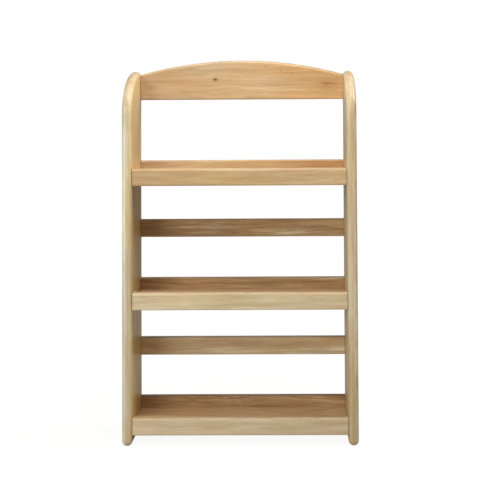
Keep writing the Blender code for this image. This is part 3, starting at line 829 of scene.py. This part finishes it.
# average colour of each board, at places along it: X for the boards, Z for the panels
TONES = {
    "left inner": ((60, (0.665, 0.485, 0.18)), (230, (0.62, 0.44, 0.19)), (340, (0.66, 0.45, 0.20)), (385, (0.68, 0.49, 0.235))),
    # left front: the stops from 362 up are darker, painted shade over the shoulder's highlight
    "left front": ((30, (0.652, 0.495, 0.281)), (85, (0.588, 0.434, 0.236)), (138, (0.675, 0.551, 0.329)),
                   (200, (0.594, 0.471, 0.266)), (260, (0.606, 0.467, 0.257)), (320, (0.717, 0.584, 0.340)),
                   (355, (0.695, 0.560, 0.325)), (362, (0.675, 0.535, 0.305)), (370, (0.610, 0.455, 0.255)),
                   (379, (0.617, 0.472, 0.282)),
                   (392, (0.620, 0.470, 0.290))),
    # right inner: the stops grow paler towards the top, painted light
    "right inner": ((60, (0.62, 0.45, 0.24)), (300, (0.76, 0.64, 0.40)), (390, (0.84, 0.70, 0.46))),
    "right front": ((30, (0.52, 0.385, 0.195)), (200, (0.69, 0.555, 0.35)), (330, (0.62, 0.44, 0.225)), (356, (0.66, 0.47, 0.255)), (385, (0.63, 0.455, 0.245))),
    "outer": ((30, (0.63, 0.465, 0.25)), (210, (0.67, 0.505, 0.285)), (390, (0.65, 0.475, 0.26))),
    "top rail": ((-90, (0.60, 0.385, 0.190)), (0, (0.70, 0.457, 0.230)), (90, (0.71, 0.418, 0.170))),
    "upper lip": ((-80, (0.60, 0.39, 0.182)), (0, (0.655, 0.44, 0.208)), (90, (0.69, 0.48, 0.255))),
    "middle lip": ((-80, (0.73, 0.58, 0.355)), (0, (0.70, 0.555, 0.325)), (90, (0.68, 0.525, 0.305))),
    "lower lip": ((-80, (0.73, 0.58, 0.365)), (0, (0.67, 0.53, 0.32)), (90, (0.64, 0.49, 0.285))),
    "upper shelf": ((0, (0.57, 0.360, 0.185)),),
    "middle shelf": ((0, (0.57, 0.355, 0.185)),),
    "lower shelf": ((-80, (0.585, 0.373, 0.202)), (40, (0.605, 0.415, 0.225))),
    "upper back": ((-80, (0.63, 0.46, 0.265)), (0, (0.61, 0.41, 0.195)), (90, (0.60, 0.34, 0.15))),
    "middle back": ((-80, (0.49, 0.30, 0.142)), (30, (0.50, 0.335, 0.170)), (95, (0.47, 0.285, 0.13))),
    "lower back": ((-80, (0.50, 0.31, 0.150)), (0, (0.53, 0.33, 0.165))),
    "middle stop": ((-90, (0.47, 0.285, 0.125)), (30, (0.48, 0.285, 0.126)), (95, (0.57, 0.37, 0.18))),
    "lower stop": ((-80, (0.68, 0.485, 0.265)), (0, (0.69, 0.505, 0.28))),
}
# painted light on the outer part of the left band, lighter towards its outer side
LEFT_PAINTED_LIGHT = (
    (-121.4, -124.8, 1, (
        (30, (0.20, 0.30, 0.45)), (85, (0.31, 0.43, 0.65)), (138, (0.18, 0.256, 0.42)), (205, (0.44, 0.60, 0.95)),
        (260, (0.47, 0.65, 1.00)), (328, (0.275, 0.371, 0.593)), (355, (0.13, 0.19, 0.30)), (368, (0.05, 0.15, 0.36)),
        (382, (0.03, 0.11, 0.20)), (394, (0.0, 0.0, 0.0)),
    )),
)
# painted shade on the right band's outer arris, darker towards its outer side; painted shade on its shoulder; painted
# light on the inner part of its top
RIGHT_PAINTED_LIGHT_AND_SHADE = (
    (123.7, 127.3, -1, ((30, (0.70, 0.76, 0.80)), (390, (0.62, 0.70, 0.80)))),
    (120.5, 124.5, -1, (
        (345, (0.0, 0.0, 0.0)), (360, (0.10, 0.13, 0.18)), (374, (0.22, 0.28, 0.34)), (388, (0.0, 0.0, 0.0)),
    )),
    (121.3, 117.6, 1, ((366, (0.0, 0.0, 0.0)), (384, (0.22, 0.20, 0.18)), (398, (0.16, 0.16, 0.16)))),
)
# crown on a board paints shade on its tops: it dims the lit tops of the arch and the lips, darkens the rail tops and
# greys the middle back's
woods = {
    "left_side_panel": wood("wood_left_panel", "Z", TONES["left inner"], 11, figure=0.08, streak=0.13, hue=0.14, pith=(70, 60),
                            lean=(0.03, 0.05), front=TONES["left front"], outer=(-1, TONES["outer"]), painted_light_ramps=LEFT_PAINTED_LIGHT),
    "right_side_panel": wood("wood_right_panel", "Z", TONES["right inner"], 12, figure=0.08, streak=0.13, hue=0.14, pith=(-60, 45),
                             lean=(-0.02, 0.06), front=TONES["right front"], outer=(1, TONES["outer"]), painted_light_ramps=RIGHT_PAINTED_LIGHT_AND_SHADE,
                             flames=((372, 124, 18, 3.0, 0.30), (342, 122, 26, 2.2, 0.22))),
    "arched_top_rail": wood("wood_top_rail", "X", TONES["top rail"], 21, figure=0.07, streak=0.13, line=0.07, dashes=0.16,
                            hue=0.16, pith=(62, 330), lean=(0.05, 0.05), knot=(-30.0, 396.0), ends=EXTENT,
                            crown=((-90, (0.86, 0.94, 1.0)), (0, (0.66, 0.73, 0.84)), (90, (0.56, 0.63, 0.70))),
                            flames=((104, 401, 13, 2.6, 0.20), (101, 396, 12, 1.3, 0.30), (98, 390.5, 11, 1.8, 0.50),
                                    (103, 391, 20, 6.5, 0.26),
                                    (84, 385, 30, 2.6, 0.16), (100, 381, 26, 1.8, 0.18), (70, 402, 24, 1.6, 0.12),
                                    (70, 392.5, 8, 1.6, 0.16), (-104, 387, 10, 4.0, 0.18), (-95, 393, 24, 5.0, 0.14),
                                    (-97, 378, 18, 5.0, -0.16),
                                    (-60, 392.3, 40, 1.0, 0.12), (-42, 406.5, 26, 1.2, 0.14), (-59, 409.5, 5, 1.3, 0.24),
                                    (-84, 371.7, 26, 1.0, 0.15)),
                            specks=((28.2, 411.3, 1.5, 0.32), (45.6, 405.2, 1.1, 0.42), (52.8, 403.8, 1.0, 0.50),
                                    (58.4, 403.4, 1.8, 0.26), (96.5, 389.5, 2.0, 0.34))),
    "upper_front_lip": wood("wood_lip_upper", "X", TONES["upper lip"], 31, figure=0.08, streak=0.13, pith=(70, 330),
                            lean=(0.05, -0.05), ends=EXTENT, crown=(0.77, 0.73, 0.69),
                            flames=((20, 287, 60, 2.4, 0.20), (95, 291, 24, 1.6, 0.30))),
    "middle_front_lip": wood("wood_lip_middle", "X", TONES["middle lip"], 32, figure=0.06, streak=0.10, pith=(80, 120),
                             lean=(0.03, 0.04), ends=EXTENT, crown=(0.72, 0.62, 0.53)),
    "lower_front_lip": wood("wood_lip_lower", "X", TONES["lower lip"], 33, figure=0.10, streak=0.10, dashes=0.18, pith=(60, 60),
                            lean=(0.02, 0.04), ends=EXTENT, crown=(0.58, 0.50, 0.39), flames=((30, 19, 22, 1.8, 0.16),)),
    "upper_shelf_board": wood("wood_shelf_upper", "X", TONES["upper shelf"], 41, figure=0.12, streak=0.12, pith=(0, 220), ends=EXTENT),
    "middle_shelf_board": wood("wood_shelf_middle", "X", TONES["middle shelf"], 42, figure=0.12, streak=0.12, pith=(5, 90), ends=EXTENT),
    # painted shade: the lower shelf gets darker towards its front, by 0.30
    "lower_shelf_board": wood("wood_shelf_lower", "X", TONES["lower shelf"], 43, figure=0.26, streak=0.13, pith=(-5, -20), painted_shade_in_y=(22, 3, 0.30),
                              lean=(0.08, 0.03), ends=EXTENT, flames=((-40, 0, 60, 5.0, 0.25),)),
    "upper_shelf_back_rail": wood("wood_back_upper", "X", TONES["upper back"], 51, figure=0.08, streak=0.14, line=0.08, pith=(80, 330),
                                  ends=EXTENT, crown=(0.92, 0.92, 0.92), flames=((96, 297, 28, 7.0, 0.22), (60, 291, 40, 3.0, 0.18))),
    # the first flame darkens the left end: partly darker figure, partly painted shade where shade falls on that end
    "middle_shelf_back_rail": wood("wood_back_middle", "X", TONES["middle back"], 52, figure=0.12, streak=0.30, line=0.10, pith=(70, 120),
                                   ends=EXTENT, crown=(0.92, 1.08, 1.25), flames=((-100, 160, 40, 9.0, 0.22), (60, 158, 60, 4.0, 0.16))),
    "lower_shelf_back_rail": wood("wood_back_lower", "X", TONES["lower back"], 53, figure=0.12, streak=0.34, line=0.12, dashes=0.55, pith=(90, 60),
                                  ends=EXTENT, crown=(0.68, 0.70, 0.70),
                                  flames=((-95, 24, 36, 8.0, 0.20), (-40, 22, 60, 3.0, 0.20), (30, 22, 70, 3.0, 0.20), (-112, 29, 5, 3.0, 0.25),
                                          (-102, 25.8, 8, 1.5, 0.40), (-84.7, 27.3, 8, 1.3, 0.30), (-68.4, 25.7, 9, 1.5, 0.36),
                                          (-31.5, 25.6, 8, 1.4, 0.46), (-7.2, 24.9, 8, 1.6, 0.46), (20, 29.5, 26, 1.0, 0.14))),
    # the first flame darkens the left end: partly darker figure, partly painted shade where shade falls on that end
    "middle_jar_stop_rail": wood("wood_stop_middle", "X", TONES["middle stop"], 61, figure=0.14, streak=0.42, line=0.12, pith=(75, 260),
                                 lean=(0.02, 0.05), hue=0.22, ends=EXTENT, crown=(0.80, 0.85, 0.90),
                                 flames=((-105, 226, 40, 14.0, 0.40), (70, 231, 60, 4.0, 0.32), (80, 226, 24, 1.4, 0.30),
                                         (60, 221, 70, 3.0, -0.12), (20, 217, 60, 1.5, 0.25))),
    "lower_jar_stop_rail": wood("wood_stop_lower", "X", TONES["lower stop"], 62, figure=0.14, streak=0.17, line=0.12, pith=(80, 70),
                                lean=(0.05, -0.03), hue=0.18, ends=EXTENT, crown=(0.66, 0.70, 0.72),
                                flames=((0, 95.8, 300, 3.6, 0.42), (0, 87.6, 300, 3.4, -0.24), (-102, 91.5, 15, 3.6, 0.30), (-78, 90, 28, 2.2, 0.24),
                                         (-3, 92.5, 60, 1.4, 0.14), (36, 91.5, 50, 1.6, 0.20), (90, 89.5, 14, 3.0, 0.24),
                                         (70, 99.0, 40, 2.0, -0.10))),
}
beech = wood("wood_dowel", "X", ((0, (0.66, 0.49, 0.30)),), 71, figure=0.08, streak=0.07, pores=0.35, sheen=0.62)
plate_metal = steel("zinc_plate", (0.66, 0.67, 0.68), 0.30, 3.0)
screw_metal = steel("zinc_screw", (0.72, 0.69, 0.58), 0.27, 9.0, brushed=False)

for side in ("left", "right"):
    node = side + "_side_panel"
    stand_for(side_panel(node), node, woods[node])

stand_for(arched_rail("arched_top_rail"), "arched_top_rail", woods["arched_top_rail"])

for tier in ("lower", "middle", "upper"):
    node = tier + "_front_lip"
    stand_for(straight_board(node, tier + "_lip_dowel", 3.0 * MM, 1.0, 0.5, 10, 0.35 * MM), node, woods[node])
    node = tier + "_shelf_board"
    stand_for(straight_board(node, tier + "_shelf_dowel", 0.6 * MM, 1.0, 1.0, 4, 0.2 * MM), node, woods[node])
    node = tier + "_shelf_back_rail"
    stand_for(straight_board(node, tier + "_back_rail_dowel", 1.6 * MM, 1.0, 1.0, 8, 0.25 * MM), node, woods[node])
for tier in ("lower", "middle"):
    node = tier + "_jar_stop_rail"
    stand_for(straight_board(node, tier + "_stop_rail_dowel", 1.6 * MM, 1.0, 1.0, 8, 0.25 * MM), node, woods[node])

for node in DOWELS:
    stand_for(fluted_dowel(node), node, beech)
for word in ("left", "right"):
    node = word + "_keyhole_hanger"
    stand_for(hanger_plate(node), node, plate_metal)
    for place in ("a", "b"):
        node = "%s_hanger_screw_%s" % (word, place)
        stand_for(wood_screw(node), node, screw_metal)

for helper in workshop:
    mesh = helper.data
    bpy.data.objects.remove(helper)
    if mesh.users == 0:
        bpy.data.meshes.remove(mesh)


# --------------------------------------------------------------------------
# floor, backdrop and light
# --------------------------------------------------------------------------
FLOOR_BOUNCE = 0.42


def studio_floor():
    """A wide pale floor. It runs out into plain white, so no horizon shows, and keeps a faint shadow by the feet."""
    bm = bmesh.new()
    rings = []
    for radius in (0.25, 0.5, 1.0, 2.0, 4.0, 8.0, 14.0):
        rings.append([bm.verts.new((a, b, 0.0)) for a, b in circle(radius, 64)])
    bm.faces.new(rings[0])
    for inner, outer in zip(rings, rings[1:]):
        for k in range(64):
            bm.faces.new((inner[k], inner[(k + 1) % 64], outer[(k + 1) % 64], outer[k]))
    sheet = object_from("studio_floor", bm)
    g = Graph("pale_floor")
    where = g.node("ShaderNodeTexCoord").outputs["Object"]
    cloud = g.noise(where, 3.0, 3.0, 0.5)
    path = g.node("ShaderNodeLightPath")
    seen = path.outputs["Is Camera Ray"]
    tone = g.mix(g.spread(cloud, 0.3, 0.7), (0.93, 0.93, 0.925), (0.90, 0.90, 0.895))
    bounce = g.mix(seen, (FLOOR_BOUNCE, FLOOR_BOUNCE, FLOOR_BOUNCE), tone)
    g.feed(g.shader.inputs["Base Color"], bounce)
    g.shader.inputs["Roughness"].default_value = 0.9
    g.shader.inputs["Specular IOR Level"].default_value = 0.1
    far = g.node("ShaderNodeVectorMath", operation="LENGTH")
    g.feed(far.inputs[0], where)
    glow = g.node("ShaderNodeEmission")
    glow.inputs["Color"].default_value = (1, 1, 1, 1)
    glow.inputs["Strength"].default_value = 1.02
    share = g.mul(seen, g.spread(far.outputs["Value"], 0.15, 0.8, 0.91, 1.0))
    both = g.node("ShaderNodeMixShader")
    g.feed(both.inputs[0], share)
    g.feed(both.inputs[1], g.shader.outputs[0])
    g.feed(both.inputs[2], glow.outputs[0])
    g.feed(g.output.inputs["Surface"], both.outputs[0])
    sheet.data.materials.append(g.material)
    return sheet


studio_floor()


def soft_box(name, size, energy, at, aim, colour=(1, 1, 1), size_y=None):
    data = bpy.data.lights.new(name, "AREA")
    data.shape = "RECTANGLE"
    data.size = size
    data.size_y = size_y or size
    data.energy = energy
    data.color = colour
    made = bpy.data.objects.new(name, data)
    scene.collection.objects.link(made)
    made.location = at
    made.rotation_euler = (Vector(aim) - Vector(at)).to_track_quat("-Z", "Y").to_euler()
    return made


soft_box("steep", 0.6, 9.2, (0.0, -0.45, 1.35), (0, 0, 0.22), (1.0, 0.985, 0.96), 0.4)
soft_box("front_left", 0.8, 12.2, (-1.0, -1.5, 0.8), (0, 0, 0.22), (0.985, 0.995, 1.0), 0.8)
soft_box("over_right", 0.5, 10.2, (0.9, 0.0, 1.0), (0, 0, 0.22), (1.0, 0.985, 0.96), 0.3)

world = bpy.data.worlds.new("studio_white")
scene.world = world
world.use_nodes = True
tree = world.node_tree
sky = tree.nodes["Background"]
sky.inputs["Color"].default_value = (1.0, 1.0, 1.0, 1.0)
ray = tree.nodes.new("ShaderNodeLightPath")
strength = tree.nodes.new("ShaderNodeMapRange")
strength.inputs["To Min"].default_value = 0.255  # what the room gives
strength.inputs["To Max"].default_value = 1.02  # what the camera sees
tree.links.new(ray.outputs["Is Camera Ray"], strength.inputs["Value"])
tree.links.new(strength.outputs["Result"], sky.inputs["Strength"])
scene.view_settings.view_transform = "Standard"


# --------------------------------------------------------------------------
# camera
# --------------------------------------------------------------------------
FRAME_PX = 487.0
FOCAL_PX = 871.33
CENTRE_X, CENTRE_Y = 282.14, 88.76  # where the lens axis meets the picture
EYE = Vector((0.05415, -0.97493, 0.36104))
YAW, PITCH, ROLL = 0.0076, 0.0240, 0.0055

lens = bpy.data.cameras.new("camera")
lens.sensor_width = 36.0
lens.lens = FOCAL_PX / FRAME_PX * 36.0
lens.clip_start, lens.clip_end = 0.05, 50.0
camera = bpy.data.objects.new("camera", lens)
scene.collection.objects.link(camera)
camera.rotation_mode = "QUATERNION"
turn = (
    Matrix.Rotation(YAW, 3, "Z")
    @ Matrix.Rotation(PITCH, 3, "X")
    @ Matrix.Rotation(ROLL, 3, "Y")
    @ Matrix.Rotation(math.pi / 2, 3, "X")
)
camera.location = EYE
camera.rotation_quaternion = turn.to_quaternion()
scene.camera = camera


def shifted(channel, amount):
    """The lens is shifted only while the camera stands at its main place."""
    driver = lens.driver_add(channel).driver
    driver.type = "SCRIPTED"
    for name, axis in (("a", "LOC_X"), ("b", "LOC_Y"), ("c", "LOC_Z")):
        variable = driver.variables.new()
        variable.name = name
        variable.type = "TRANSFORMS"
        variable.targets[0].id = camera
        variable.targets[0].transform_type = axis
        variable.targets[0].transform_space = "WORLD_SPACE"
    driver.expression = "%.6f if abs(a - %.6f) + abs(b - %.6f) + abs(c - %.6f) < 0.0005 else 0" % (amount, *EYE)


shifted("shift_x", (FRAME_PX / 2 - CENTRE_X) / FRAME_PX)
shifted("shift_y", (CENTRE_Y - FRAME_PX / 2) / FRAME_PX)
